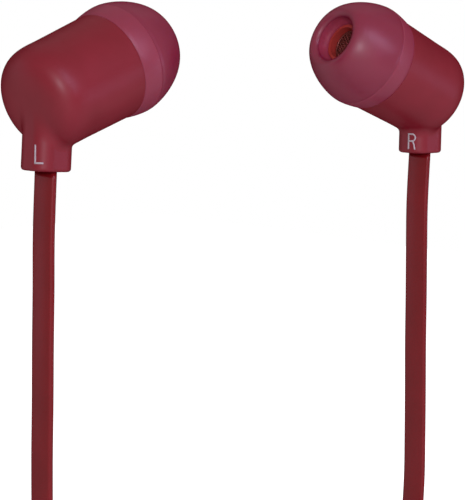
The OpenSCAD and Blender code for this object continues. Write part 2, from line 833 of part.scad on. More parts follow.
left_side() rear_shell();  // left_rear_shell
left_side() front_shell();  // left_front_shell
left_side() ear_tip();  // left_ear_tip
left_side() nozzle_screen();  // left_nozzle_screen
left_side() driver_frame();  // left_driver_frame
left_side() yoke();  // left_yoke
left_side() magnet();  // left_magnet
left_side() pole_plate();  // left_pole_plate
left_side() voice_coil();  // left_voice_coil
left_side() diaphragm();  // left_diaphragm
left_side() surround();  // left_surround
left_side() driver_cover();  // left_driver_cover
left_side() vent_paper();  // left_vent_paper
left_side() gasket();  // left_gasket
left_side() terminal_board();  // left_terminal_board
left_side() cord_grommet();  // left_cord_grommet
left_side() cord_crimp();  // left_cord_crimp
left_side() wires();  // left_wires
right_side() rear_shell();  // right_rear_shell
right_side() front_shell();  // right_front_shell
right_side() ear_tip();  // right_ear_tip
right_side() nozzle_screen();  // right_nozzle_screen
right_side() driver_frame();  // right_driver_frame
right_side() yoke();  // right_yoke
right_side() magnet();  // right_magnet
right_side() pole_plate();  // right_pole_plate
right_side() voice_coil();  // right_voice_coil
right_side() diaphragm();  // right_diaphragm
right_side() surround();  // right_surround
right_side() driver_cover();  // right_driver_cover
right_side() vent_paper();  // right_vent_paper
right_side() gasket();  // right_gasket
right_side() terminal_board();  // right_terminal_board
right_side() cord_grommet();  // right_cord_grommet
right_side() cord_crimp();  // right_cord_crimp
right_side() wires();  // right_wires
left_lead();
lead_hank(left_lead_path);  // left_lead_hank
right_lead();
lead_hank(right_lead_path);  // right_lead_hank
main_cord_hank();
main_cord_end();
splitter_half(-1);  // splitter_left_shell
splitter_half(1);  // splitter_right_shell
splitter_core();
hank_tie();
plug_relief();
plug_body();
plug_sleeve();
plug_insulators();
plug_ring();
plug_tip();
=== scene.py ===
import json
import math

import bpy
import numpy as np
from mathutils import Matrix, Quaternion, Vector


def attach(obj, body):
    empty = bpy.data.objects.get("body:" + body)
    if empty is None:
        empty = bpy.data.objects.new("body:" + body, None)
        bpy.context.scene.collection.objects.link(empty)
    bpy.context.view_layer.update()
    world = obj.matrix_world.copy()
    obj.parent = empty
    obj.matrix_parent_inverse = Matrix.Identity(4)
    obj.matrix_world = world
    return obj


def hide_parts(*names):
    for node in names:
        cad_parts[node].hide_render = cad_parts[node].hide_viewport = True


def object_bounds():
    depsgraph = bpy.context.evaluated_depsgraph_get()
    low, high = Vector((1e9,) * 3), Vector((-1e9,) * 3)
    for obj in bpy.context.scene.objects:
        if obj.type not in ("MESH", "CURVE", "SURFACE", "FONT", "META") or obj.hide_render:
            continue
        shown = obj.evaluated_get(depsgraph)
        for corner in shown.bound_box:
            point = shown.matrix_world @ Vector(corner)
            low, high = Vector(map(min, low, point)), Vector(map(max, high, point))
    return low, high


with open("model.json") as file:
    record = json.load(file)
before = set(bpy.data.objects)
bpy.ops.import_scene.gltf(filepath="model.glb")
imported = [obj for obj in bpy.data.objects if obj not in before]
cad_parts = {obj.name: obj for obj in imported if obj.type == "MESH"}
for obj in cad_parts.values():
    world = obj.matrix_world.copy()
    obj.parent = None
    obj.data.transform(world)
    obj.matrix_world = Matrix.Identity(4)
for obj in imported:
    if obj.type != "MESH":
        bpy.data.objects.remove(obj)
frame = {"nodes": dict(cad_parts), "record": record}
cad_low, cad_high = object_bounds()

# Lengths are in millimetres here and become metres in make_mesh().
MM = 0.001

# ------------------------------------------------------------------ sizes

# Bud, measured along the nozzle axis from the base of the rear dome
NOZZLE_RISE = math.radians(23)
BARREL_REAR_R, BARREL_FRONT_R, BARREL_LEN = 5.7, 5.9, 6.9
DOME_LEN, DOME_POWER = 4.8, 3.7
SHELL_WALL = 1.1
POCKET_R, SEAT_S = 4.65, 1.1
SKIRT_R, CREASE_R = 5.95, 6.3
SKIRT_S, CREASE_S, MOUTH_S = 6.91, 9.32, 14.87
MOUTH_R, LIP_W = 2.7, 0.75
TIP_POWER = 1.55
SKIRT_WALL, SLEEVE_WALL, SLEEVE_BORE_R, SLEEVE_S = 0.6, 0.75, 2.35, 10.1
NOSE_LEN = 1.5
NOZZLE_S = 13.1
SCREEN_S, SCREEN_T = 11.9, 0.3
SCREEN_RING_IN, SCREEN_RING_OUT, WIRE_REACH = 1.78, 1.93, 1.84
RIM_EDGE = 0.05

# Stem of a bud that isn't placed yet
STEM_W, STEM_D, STEM_CORNER = 5.0, 4.4, 1.7
STEM_BACK, STEM_DROP = 1.45, 8.5
STEM_EDGE = 0.35
NECK_W, NECK_D, NECK_H = 2.0, 3.2, 1.6
CHEST_W, CHEST_D = 2.6, 3.4
ROOM_CORNER = 0.3
# Way in which each stem runs softly into its dome, as X and Y
SOFT_SIDE = {"left": (-0.665, -0.747), "right": (0.714, -0.7)}

# Pair
MOUTH_GAP, PAIR_OFFSET, RIGHT_RISE = 23.4, 6.4, 0.65
LEFT_LEAN, RIGHT_TURN = math.radians(3.5), math.radians(8.5)

# Cord, hank and plug
CORD_W, CORD_T, CORD_CORNER, CORD_CROWN = 3.1, 0.9, 0.34, 0.08
FOLD_R, HALF_RUN, TURN_STEP, LAYER_STEP, DRAW_IN = 9.4, 25.0, 1.8, 3.6, 7.0
LEAD_TURNS, MAIN_TURNS = 2, 3
HANK_CENTRE = np.array([MOUTH_GAP / 2, -PAIR_OFFSET / 2, -116.0])
SPLITTER_LEN, SPLITTER_WALL = 16.0, 0.7
SPLITTER_W = LAYER_STEP + CORD_W + 2 * SPLITTER_WALL
PLUG_AT = np.array([31.85, -3.2])
PLUG_TOP, RELIEF_LEN, BODY_LEN = -106.0, 9.0, 18.0
TIE_LEFT, TIE_RIGHT, TIE_DEPTH, TIE_T = 9.8, 8.9, 11.0, 0.9

AXIS = np.array([math.cos(NOZZLE_RISE), 0, math.sin(NOZZLE_RISE)])
RISING = np.array([-math.sin(NOZZLE_RISE), 0, math.cos(NOZZLE_RISE)])
ACROSS = np.array([0.0, 1.0, 0.0])
UP, DOWN = np.array([0.0, 0, 1]), np.array([0.0, 0, -1])
DOME_CENTRE = -MOUTH_S * AXIS
STEM_X = DOME_CENTRE[0] - STEM_BACK
STEM_Z = DOME_CENTRE[2] - STEM_DROP


# ------------------------------------------------------------------ meshes

# A bud is made upright, with its mouth at the origin. Placing it leans the left one, and
# mirrors, turns and moves the right one.
PLACES = {
    "left": (np.array(Matrix.Rotation(LEFT_LEAN, 3, "Y")), np.zeros(3)),
    "right": (np.array(Matrix.Rotation(-RIGHT_TURN, 3, "Z")) @ np.diag([-1.0, 1, 1]),
              np.array([MOUTH_GAP, -PAIR_OFFSET, RIGHT_RISE])),
}


def placed(points, side):
    turn, move = PLACES[side]
    return np.asarray(points) @ turn.T + move


def make_mesh(name, points, faces, normals=None, flip=False):
    """A smooth mesh piece from points in millimetres."""
    if flip:
        faces = [f[::-1] for f in faces]
    mesh = bpy.data.meshes.new(name)
    mesh.from_pydata((np.asarray(points) * MM).tolist(), [], [list(map(int, f)) for f in faces])
    mesh.validate()
    mesh.shade_smooth()
    if normals is not None:
        mesh.normals_split_custom_set_from_vertices(normals.tolist())
    piece = bpy.data.objects.new(name, mesh)
    bpy.context.scene.collection.objects.link(piece)
    return piece


def bud_piece(name, points, faces, normals, side):
    """A bud's piece in its place: side is "left" or "right"."""
    turned = None if normals is None else normals @ PLACES[side][0].T
    return make_mesh(name, placed(points, side), faces, turned, flip=side == "right")


def revolved(profile, segments, centre, axis, first, second):
    """Points and faces of a closed profile of (radius, height) turned round an axis."""
    turn = np.linspace(0, 2 * math.pi, segments, endpoint=False)
    around = np.outer(np.cos(turn), first) + np.outer(np.sin(turn), second)
    points = [centre + h * axis + r * around for r, h in profile]
    count = len(profile)
    faces = []
    for i in range(count):
        n = (i + 1) % count
        for k in range(segments):
            m = (k + 1) % segments
            faces.append((i * segments + k, n * segments + k, n * segments + m, i * segments + m))
    return np.concatenate(points), faces


def turned_solid(profile, segments, x, y, z):
    """A solid turned round a vertical axis, whose profile runs from pole to pole."""
    turn = np.linspace(0, 2 * math.pi, segments, endpoint=False)
    ring = np.stack([np.cos(turn), np.sin(turn), 0 * turn], 1)
    points = [np.array([[x, y, z + profile[0][1]]])]
    points += [np.array([x, y, z + h]) + r * ring for r, h in profile[1:-1]]
    points += [np.array([[x, y, z + profile[-1][1]]])]
    faces = []
    rings = len(profile) - 2
    last = 1 + rings * segments
    for k in range(segments):
        m = (k + 1) % segments
        faces.append((0, 1 + m, 1 + k))
        faces.append((last, last - segments + k, last - segments + m))
        for i in range(rings - 1):
            a = 1 + i * segments
            faces.append((a + k, a + m, a + segments + m, a + segments + k))
    return np.concatenate(points), faces


def arc(cx, cy, radius, start, end, steps):
    """Points on an arc, angles in degrees."""
    angles = np.radians(np.linspace(start, end, steps + 1))
    return [(cx + radius * math.cos(a), cy + radius * math.sin(a)) for a in angles]


# ------------------------------------------------------------------ rear shell

def smoothstep(low, high, x):
    t = np.clip((x - low) / (high - low), 0, 1)
    return t * t * (3 - 2 * t)


def smooth_union(a, b, width):
    h = np.maximum(width - np.abs(a - b), 0) / width
    return np.minimum(a, b) - h * h * width / 4


def rounded_cut(a, b, radius):
    """The common part of two solids, with the edge between them rounded."""
    u, v = a + radius, b + radius
    outside = np.sqrt(np.maximum(u, 0) ** 2 + np.maximum(v, 0) ** 2)
    return np.minimum(np.maximum(u, v), 0) + outside - radius


def dome_field(s, r, base_r, length, power):
    """About the distance to a barrel with a squarish dome behind s = 0."""
    u, v = r / base_r, np.maximum(-s, 0) / length
    size = np.maximum((u ** power + v ** power) ** (1 / power), 0.05)
    slope_r = (u / size) ** (power - 1) / base_r
    slope_s = (v / size) ** (power - 1) / length
    return (size - 1) / np.sqrt(slope_r ** 2 + slope_s ** 2 + 1e-9)


def box_field(x, y, width, depth, corner):
    """Distance to an upright block with rounded edges round the stem's middle."""
    u = np.abs(x - STEM_X) - width / 2 + corner
    v = np.abs(y) - depth / 2 + corner
    outside = np.sqrt(np.maximum(u, 0) ** 2 + np.maximum(v, 0) ** 2)
    return outside + np.minimum(np.maximum(u, v), 0) - corner


def shell_field(p, soft_side):
    """About the distance to a rear shell: barrel, dome and stem in one moulding."""
    q = p - DOME_CENTRE
    s = q @ AXIS
    r = np.sqrt((q @ RISING) ** 2 + q[:, 1] ** 2)
    x, y, z = p[:, 0], p[:, 1], p[:, 2]
    widen = (BARREL_FRONT_R - BARREL_REAR_R) * np.maximum(s, 0) / BARREL_LEN
    barrel = dome_field(s, r, BARREL_REAR_R + widen, DOME_LEN, DOME_POWER)
    stem = rounded_cut(box_field(x, y, STEM_W, STEM_D, STEM_CORNER), STEM_Z - z, STEM_EDGE)
    stem = np.maximum(stem, z - DOME_CENTRE[2])
    # The stem runs into the dome with a wide fillet on its soft side
    reach = np.hypot(x - STEM_X, y) + 1e-6
    facing = ((x - STEM_X) * soft_side[0] + y * soft_side[1]) / reach
    fillet = 0.35 + 0.5 * smoothstep(-0.1, 0.95, facing)
    outer = smooth_union(barrel, stem, fillet)
    outer = rounded_cut(outer, s - BARREL_LEN, RIM_EDGE)
    dome_room = dome_field(s, r, BARREL_REAR_R - SHELL_WALL, DOME_LEN - SHELL_WALL, DOME_POWER)
    dome_room = np.maximum(dome_room, s - SEAT_S)
    driver_room = np.maximum(r - POCKET_R, SEAT_S - s)
    neck = np.maximum(box_field(x, y, NECK_W, NECK_D, ROOM_CORNER), z - STEM_Z - NECK_H)
    chest = np.maximum(box_field(x, y, CHEST_W, CHEST_D, ROOM_CORNER),
                       STEM_Z + NECK_H - z)
    chest = np.maximum(chest, z - DOME_CENTRE[2])
    room = np.minimum(np.minimum(dome_room, driver_room), np.minimum(neck, chest))
    return np.maximum(outer, -room)


def field_slope(field, p):
    """The field's gradient by central differences."""
    step = 2e-3
    slope = np.zeros_like(p)
    for k in range(3):
        d = np.zeros(3)
        d[k] = step
        slope[:, k] = (field(p + d) - field(p - d)) / (2 * step)
    return slope


def net_place(s, t, r):
    """Points from distance along the nozzle axis, angle and radius."""
    return (DOME_CENTRE + s[..., None] * AXIS + (r * np.cos(t))[..., None] * RISING
            + (r * np.sin(t))[..., None] * ACROSS)


def cell_sums(values, own):
    """Adds what lies on each cell's four edges of one direction. The angle wraps round."""
    if own != 1:
        values = values + np.roll(values, -1, axis=1)
    if own != 0:
        values = values[:-1] + values[1:]
    if own != 2:
        values = values[:, :, :-1] + values[:, :, 1:]
    return values


def surface_net(field, s_levels, turns, r_levels):
    """A closed quad mesh on the field's zero surface, on a grid round the nozzle axis."""
    t_levels = np.linspace(0, 2 * math.pi, turns, endpoint=False)
    levels = [s_levels, t_levels, r_levels]
    grid = np.meshgrid(*levels, indexing="ij")
    value = field(net_place(*grid).reshape(-1, 3)).reshape(grid[0].shape)
    inside = value < 0
    total, count, crossed = [0, 0, 0], 0, []
    for axis in range(3):
        if axis == 1:
            near, far = value, np.roll(value, -1, 1)
        else:
            before = (slice(None),) * axis
            near, far = value[before + (slice(None, -1),)], value[before + (slice(1, None),)]
        cut = (near < 0) != (far < 0)
        share = np.where(cut, near / np.where(cut, near - far, 1), 0)
        crossed.append(cut)
        trim = [slice(None)] * 3
        if axis != 1:
            trim[axis] = slice(None, -1)
        for k in range(3):
            at = grid[k][tuple(trim)]
            if k == axis:
                size = 2 * math.pi / turns if k == 1 else np.diff(levels[k]).reshape(
                    [-1 if j == k else 1 for j in range(3)])
                at = at + share * size
            elif k == 1:
                at = at + 0 * share
            total[k] = total[k] + cell_sums(np.where(cut, at, 0), axis)
        count = count + cell_sums(cut.astype(float), axis)
    # The last column of cells closes the circle, where the angle starts again at zero
    wrap = wrap_extra(crossed, turns)
    used = count > 0
    place = [np.where(used, (total[k] + (wrap if k == 1 else 0)) / np.maximum(count, 1), 0)
             for k in range(3)]
    ids = np.full(used.shape, -1)
    ids[used] = np.arange(used.sum())
    points = net_place(*[place[k][used] for k in range(3)])
    faces = net_faces(inside, crossed, ids)
    # A fan of triangles closes the surface where the nozzle axis crosses it
    extra = []
    for i in np.nonzero(crossed[0][:, 0, 0])[0]:
        ring = ids[i, :, 0]
        middle = len(points) + len(extra)
        extra.append(points[ring].mean(0))
        for k in range(turns):
            pair = (ring[k], ring[(k + 1) % turns])
            faces.append((*(pair[::-1] if inside[i, 0, 0] else pair), middle))
    points = np.concatenate([points, np.array(extra).reshape(-1, 3)])
    # Newton steps put the points on the surface itself
    for _ in range(4):
        slope = field_slope(field, points)
        steep = np.maximum((slope ** 2).sum(1), 0.05)
        points = points - np.clip(field(points) / steep, -0.1, 0.1)[:, None] * slope
    slope = field_slope(field, points)
    return points, faces, slope / np.linalg.norm(slope, axis=1)[:, None]


def wrap_extra(crossed, turns):
    """A full turn for each crossing that the last column of cells takes from the first."""
    extra = 0
    for axis in (0, 2):
        first = np.zeros(crossed[axis].shape)
        first[:, 0] = crossed[axis][:, 0] * 2 * math.pi
        moved = np.roll(first, -1, axis=1)
        if axis != 0:
            moved = moved[:-1] + moved[1:]
        if axis != 2:
            moved = moved[:, :, :-1] + moved[:, :, 1:]
        extra = extra + moved
    return extra


def net_faces(inside, crossed, ids):
    """A quad round each grid edge that crosses the surface, facing out."""
    faces = []
    for axis in range(3):
        cut = crossed[axis].copy()
        if axis != 0:
            cut[0] = cut[-1] = False
        if axis != 2:
            cut[:, :, 0] = cut[:, :, -1] = False
        i, j, k = np.nonzero(cut)
        out = inside[i, j, k]
        before = np.roll(ids, 1, axis=1)
        if axis == 0:
            quad = [before[i, j, k - 1], ids[i, j, k - 1], ids[i, j, k], before[i, j, k]]
        elif axis == 1:
            quad = [ids[i - 1, j, k - 1], ids[i - 1, j, k], ids[i, j, k], ids[i, j, k - 1]]
        else:
            quad = [before[i - 1, j, k], before[i, j, k], ids[i, j, k], ids[i - 1, j, k]]
        quad = np.stack(quad, 1)
        faces += [tuple(q) for q in quad[out]]
        faces += [tuple(q[::-1]) for q in quad[~out]]
    return faces


def rear_shell_net(soft_side):
    """A rear shell's mesh. The grid is finer at the front rim and along the barrel's wall."""
    s_levels = np.concatenate([np.arange(-7.6, 6.6, 0.21),
                               [6.67, 6.74, 6.79, 6.83, 6.86, 6.88, 6.95]])
    r_levels = np.concatenate([np.arange(0, 5.4, 0.2), np.arange(5.4, 6.0, 0.07),
                               np.arange(6.05, 9.3, 0.2)])
    return surface_net(lambda p: shell_field(p, soft_side), s_levels, 232, r_levels)


# ------------------------------------------------------------------ ear tip

def tip_profile():
    """Closed outline of the tip as (radius, distance along the axis), from the skirt's edge."""
    edge, fold = 0.14, 0.2
    inner_r = SKIRT_R - SKIRT_WALL
    outline = arc(SKIRT_R - edge, SKIRT_S + edge, edge, -90, -12, 6)
    outline += [(SKIRT_R + (CREASE_R - SKIRT_R) * (1 - (1 - t) ** 1.7),
                 SKIRT_S + (CREASE_S - SKIRT_S) * t)
                for t in (0.1, 0.2, 0.35, 0.5, 0.65, 0.8, 0.9, 0.955)]
    outline += [(CREASE_R - 0.05, CREASE_S - 0.04), (CREASE_R - 0.05, CREASE_S + 0.03)]
    lip_r = MOUTH_R + LIP_W
    reach = MOUTH_S - CREASE_S
    for a in np.radians(np.linspace(0, 90, 37)[2:-1]):
        outline.append((lip_r + (CREASE_R - lip_r) * math.cos(a) ** (2 / TIP_POWER),
                        CREASE_S + reach * math.sin(a) ** (2 / TIP_POWER)))
    outline += arc(lip_r, MOUTH_S - LIP_W, LIP_W, 96, 180, 8)
    throat = MOUTH_S - LIP_W - NOZZLE_S
    outline += [(MOUTH_R - (MOUTH_R - SLEEVE_BORE_R) * t * t, MOUTH_S - LIP_W - throat * t)
                for t in (0.25, 0.5, 0.75, 1.0)]
    outline += [(SLEEVE_BORE_R, s) for s in (12.5, 11.8, 11.0)]
    outline += arc(SLEEVE_BORE_R + fold, SLEEVE_S + fold, fold, 180, 270, 4)
    sleeve_r = SLEEVE_BORE_R + SLEEVE_WALL
    outline += arc(sleeve_r - fold, SLEEVE_S + fold, fold, -90, 0, 4)
    hollow = reach - NOSE_LEN
    for a in np.radians(np.linspace(86, 0, 20)):
        outline.append((sleeve_r + (CREASE_R - SKIRT_WALL - sleeve_r)
                        * math.cos(a) ** (2 / TIP_POWER),
                        CREASE_S + hollow * math.sin(a) ** (2 / TIP_POWER)))
    outline += [(inner_r + (CREASE_R - SKIRT_R) * t, SKIRT_S + (CREASE_S - SKIRT_S) * t)
                for t in (0.7, 0.4)]
    outline += arc(inner_r + fold, SKIRT_S + fold, fold, 180, 270, 4)
    return outline


# ------------------------------------------------------------------ screen and side marks

def woven_screen():
    """A round weave of fine wires in a thin ring."""
    wires, pitch, wire_r, sides = 6, 0.29, 0.065, 5
    top = SCREEN_S + SCREEN_T
    points, faces = revolved([(SCREEN_RING_IN, SCREEN_S), (SCREEN_RING_OUT, SCREEN_S),
                              (SCREEN_RING_OUT, top), (SCREEN_RING_IN, top)], 48,
                             DOME_CENTRE, AXIS, RISING, ACROSS)
    points = [points]
    middle = DOME_CENTRE + (SCREEN_S + SCREEN_T / 2) * AXIS
    for along, beside, phase in ((RISING, ACROSS, 0), (ACROSS, RISING, math.pi)):
        for row in range(-wires, wires + 1):
            reach = math.sqrt(WIRE_REACH ** 2 - (row * pitch) ** 2)
            place = np.linspace(-reach, reach, max(8, round(2 * reach / 0.09)))
            wave = 0.5 * wire_r * np.cos(math.pi * (place / pitch + row) + phase)
            line = (middle + np.outer(place, along) + row * pitch * beside
                    + np.outer(wave, AXIS))
            rings = [line + wire_r * (math.cos(a) * beside + math.sin(a) * AXIS)
                     for a in np.linspace(0, 2 * math.pi, sides, endpoint=False)]
            first, count = sum(map(len, points)), len(place)
            turned = np.dot(np.cross(beside, AXIS), along) > 0
            for k in range(sides):
                m = (k + 1) % sides
                for i in range(count - 1):
                    quad = (k * count + i, m * count + i, m * count + i + 1, k * count + i + 1)
                    faces.append(tuple(first + q for q in (quad if turned else quad[::-1])))
            for end in (0, count - 1):
                cap = [first + k * count + end for k in range(sides)]
                faces.append(tuple(cap[::-1] if turned == (end == 0) else cap))
            points.append(np.concatenate(rings))
    return np.concatenate(points), faces


def pressed(points, facing, side):
    """Moves points from outside onto a rear shell, along one direction."""
    turn, move = PLACES[side]
    for _ in range(40):
        gap = shell_field((points - move) @ turn, SOFT_SIDE[side])
        points = points - gap[:, None] * facing
    return points


def stroke(line, half):
    """Left and right edge of a stroke along a line, in short steps."""
    fine = [np.array(line[0])]
    for a, b in zip(line, line[1:]):
        a, b = np.array(a), np.array(b)
        steps = max(1, math.ceil(np.linalg.norm(b - a) / 0.1))
        fine += [a + (b - a) * (i + 1) / steps for i in range(steps)]
    fine = np.array(fine)
    way = np.gradient(fine, axis=0)
    way /= np.linalg.norm(way, axis=1)[:, None]
    fine[0] -= half * way[0]
    fine[-1] += half * way[-1]
    aside = half * np.stack([-way[:, 1], way[:, 0]], 1)
    return fine + aside, fine - aside


def side_mark(name, strokes, centre, facing, side):
    """A printed letter on a stem: thin closed strokes that follow the shell."""
    facing = np.array([math.cos(math.radians(facing)), math.sin(math.radians(facing)), 0])
    right = np.cross(-facing, UP)
    points, faces = [], []
    for line in strokes:
        edges = []
        for edge in stroke(line, MARK_STROKE / 2):
            start = np.array(centre) + MARK_START * facing + edge[:, :1] * right + edge[:, 1:] * UP
            skin = pressed(start, facing, side)
            edges += [skin + MARK_PROUD * facing, skin - MARK_SUNK * facing]
        left_out, left_in, right_out, right_in = edges
        first, n = sum(map(len, points)), len(left_out)
        points += [left_out, right_out, right_in, left_in]
        for k in range(4):
            m = (k + 1) % 4
            for i in range(n - 1):
                faces.append(tuple(first + q for q in (k * n + i, m * n + i, m * n + i + 1,
                                                       k * n + i + 1)))
        faces.append(tuple(first + k * n for k in (3, 2, 1, 0)))
        faces.append(tuple(first + k * n + n - 1 for k in range(4)))
    return make_mesh(name, np.concatenate(points), faces)


MARK_STROKE, MARK_PROUD, MARK_SUNK, MARK_START = 0.19, 0.02, 0.06, 4
BOWL = [(0.04 + 0.38 * math.cos(a), 0.47 + 0.43 * math.sin(a))
        for a in np.radians(np.linspace(90, -90, 13))]
LETTERS = {
    "L": [[(-0.38, 0.9), (-0.38, -0.9)], [(-0.28, -0.9), (0.42, -0.9)]],
    "R": [[(-0.44, -0.9), (-0.44, 0.9)], [(-0.35, 0.9), *BOWL, (-0.35, 0.04)],
          [(0.1, -0.05), (0.25, -0.28), (0.38, -0.9)]],
}
# Side, letter, its middle and the way that it faces, in degrees from +X
MARKS = [("left", "L", (-18.17, -1.33, -11.42), -148),
         ("right", "R", (35.76, -9.27, -12.15), -152)]

# ------------------------------------------------------------------ fittings on the cord

def rounded_outline(width, depth, corner, steps=6):
    """Outline of a block with rounded corners, round the origin."""
    points = []
    for u, v, start in ((1, 1, 0), (-1, 1, 90), (-1, -1, 180), (1, -1, 270)):
        points += arc(u * (width / 2 - corner), v * (depth / 2 - corner), corner,
                      start, start + 90, steps)
    return np.array(points)


def lofted(rings, ends=True):
    """A solid through rings of as many points each. Without ends the last joins the first."""
    n, count = len(rings[0]), len(rings)
    faces = []
    for i in range(count - 1 if ends else count):
        for k in range(n):
            j, m = (i + 1) % count, (k + 1) % n
            faces.append((i * n + k, i * n + m, j * n + m, j * n + k))
    if ends:
        faces.append(tuple(range(n))[::-1])
        faces.append(tuple((count - 1) * n + k for k in range(n)))
    return np.concatenate(rings), faces


def splitter_half(side):
    """Half of the splitter: a crowned slab, with a fine seam where the halves meet."""
    rings = []
    for out, inset in ((0, 0.14), (0.1, 0.02), (0.2, 0), (0.8, 0), (1.1, 0.05), (1.3, 0.17),
                       (1.46, 0.4), (1.56, 0.8), (1.64, 1.4), (1.7, 2.4)):
        outline = rounded_outline(SPLITTER_W - 2 * inset, SPLITTER_LEN - 2 * inset,
                                  max(1.8 - inset, 0.5))
        rings.append(HANK_CENTRE + np.stack([side * out + 0 * outline[:, 0], outline[:, 0],
                                             outline[:, 1]], 1))
    return lofted(rings)


def tie_band():
    """The strap round the hank: a ribbed band, with its tail and a stud on the front."""
    profile = [(0.65, -2.5), (0.83, -2.42), (0.9, -2.2), (0.9, -0.95), (0.82, -0.87),
               (0.82, -0.63), (0.9, -0.55), (0.9, 0.55), (0.82, 0.63), (0.82, 0.87), (0.9, 0.95),
               (0.9, 2.2), (0.83, 2.42), (0.65, 2.5), (0.2, 2.5), (0.06, 2.43), (0, 2.25),
               (0, -2.25), (0.06, -2.43), (0.2, -2.5)]
    centre = HANK_CENTRE + [(TIE_RIGHT - TIE_LEFT) / 2, 0, 0]
    rings = []
    for out, z in profile:
        outline = rounded_outline(TIE_LEFT + TIE_RIGHT + 2 * out, TIE_DEPTH + 2 * out,
                                  TIE_T + out, 8)
        rings.append(centre + np.column_stack([outline, np.full(len(outline), z)]))
    band = lofted(rings, ends=False)
    front = centre + [0, -TIE_DEPTH / 2 - TIE_T, 0]
    parts = [band]
    for x, width, height, corner, levels in (
            (1.0, 12.0, 4.4, 2.1, ((-0.1, 0), (0.45, 0), (0.55, 0.08), (0.6, 0.2))),
            (4.6, 2.4, 2.4, 1.19, ((0.5, 0), (0.95, 0), (1.1, 0.12), (1.18, 0.4)))):
        rings = []
        for out, inset in levels:
            outline = rounded_outline(width - 2 * inset, height - 2 * inset, corner - inset)
            rings.append(front + np.column_stack([x + outline[:, 0], 0 * outline[:, 0] - out,
                                                  outline[:, 1]]))
        parts.append(lofted(rings))
    return joined(parts)


def joined(parts):
    """Points and faces of several parts in one mesh."""
    points, faces = [], []
    for part_points, part_faces in parts:
        first = sum(map(len, points))
        points.append(part_points)
        faces += [tuple(first + i for i in face) for face in part_faces]
    return np.concatenate(points), faces


def relief_profile():
    """The ribbed strain relief, from the plug's body up to the cord."""
    profile = [(0, 0), (2.3, 0), (2.45, 0.08), (2.5, 0.3)]
    for rib in range(6):
        low = 0.9 + 1.25 * rib
        for up, cut in ((0, 0), (0.1, 0.26), (0.4, 0.26), (0.5, 0)):
            profile.append((2.5 - 0.07 * (low + up) - cut, low + up))
    return profile + [(1.92, 8.5), (1.85, 8.85), (1.7, 9), (0, 9)]


# The plug's body, with two grooves near its upper end
BODY_PROFILE = [(0, 0), (2.3, 0), (2.75, 0.1), (3.0, 0.32), (3.1, 0.7), (3.1, 13.6),
                (3.07, 13.75), (2.96, 13.85), (2.96, 14.15), (3.07, 14.25), (3.1, 14.4),
                (3.1, 14.8), (3.07, 14.95), (2.96, 15.05), (2.96, 15.35), (3.07, 15.45),
                (3.1, 15.6), (3.1, 17.2), (3.0, 17.7), (2.75, 17.93), (2.4, 18), (0, 18)]

# ------------------------------------------------------------------ cords

LOOP_STEPS = 96
FOLD_STEPS = LOOP_STEPS // 4


def waist(z):
    """How far the tie draws a run inward at a height."""
    return DRAW_IN * (1 + math.cos(math.pi * z / HALF_RUN)) / 2


def hank_point(step, r, side, y):
    """A turn of the hank from the top of the run at -X (side 1) or +X (side -1)."""
    part, rest = divmod(step % LOOP_STEPS, FOLD_STEPS)
    t = rest / FOLD_STEPS
    z = HALF_RUN * (1 - 2 * t)
    swing, lift = r * math.cos(math.pi * t), r * math.sin(math.pi * t)
    place = ((-side * swing, HALF_RUN + lift), (side * (r - waist(z)), z),
             (side * swing, -HALF_RUN - lift), (-side * (r - waist(z)), -z))[part]
    return HANK_CENTRE + [place[0], y, place[1]]


def hank_line(first, count, side, y):
    """Turns of the hank, each a little wider than the last."""
    return [hank_point(first + q, FOLD_R + TURN_STEP * q / LOOP_STEPS, side, y)
            for q in range(count + 1)]


def split_line(way, x, y, start_y):
    """Straight out of the splitter, then swinging out to a fold."""
    straight = SPLITTER_LEN / 2 + CORD_W
    line = [HANK_CENTRE + [0, start_y, way * SPLITTER_LEN / 2]]
    for i in range(FOLD_STEPS):
        t = i / FOLD_STEPS
        ease = t * t * (3 - 2 * t)
        line.append(HANK_CENTRE + [x * ease, start_y + (y - start_y) * ease,
                                   way * (straight + (HALF_RUN - straight) * t)])
    return line


def lead_hank_line(side):
    """A lead's turns from the splitter: side 1 is the left lead, -1 the right one."""
    line = split_line(1, -side * FOLD_R, side * LAYER_STEP, side * LAYER_STEP / 2)
    line += hank_line(0, LOOP_STEPS * LEAD_TURNS, side, side * LAYER_STEP)
    return line + [line[-1] + CORD_W * UP]


def main_hank_line():
    """The main cord's turns from the splitter."""
    line = split_line(-1, FOLD_R, 0, 0)
    line += hank_line(2 * FOLD_STEPS, LOOP_STEPS * MAIN_TURNS + 3 * FOLD_STEPS, 1, 0)
    return line + [line[-1] + CORD_W * DOWN]


# Route of a lead from the stem to the hank: height, the left and the right lead's sway
# from its stem along X, share of the way inward, share from the lead's layer to its stem
LEAD_BEND = [
    (-20, -0.3, -0.25, 0, 1), (-26, -0.35, -0.1, 0, 1), (-32, -0.45, 0.1, 0, 1),
    (-38, -0.5, 0.25, 0, 1), (-44, -0.6, 0.5, 0, 1), (-50, -0.6, 0.7, 0, 1),
    (-56, -0.55, 0.8, 0, 1), (-61, -0.4, 0.6, 0.02, 1), (-66, -0.2, 0.3, 0.12, 0.9),
    (-71, 0, 0, 0.3, 0.7), (-76, 0, 0, 0.55, 0.45), (-81, 0, 0, 0.8, 0.2),
    (-85.5, 0, 0, 0.95, 0.05)]

# Route of the main cord from the hank to the plug, as shares of the way in X and Z
MAIN_BEND = [(0, 0.15), (0.15, 0.35), (0.5, 0.55), (0.85, 0.75), (1, 0.9)]


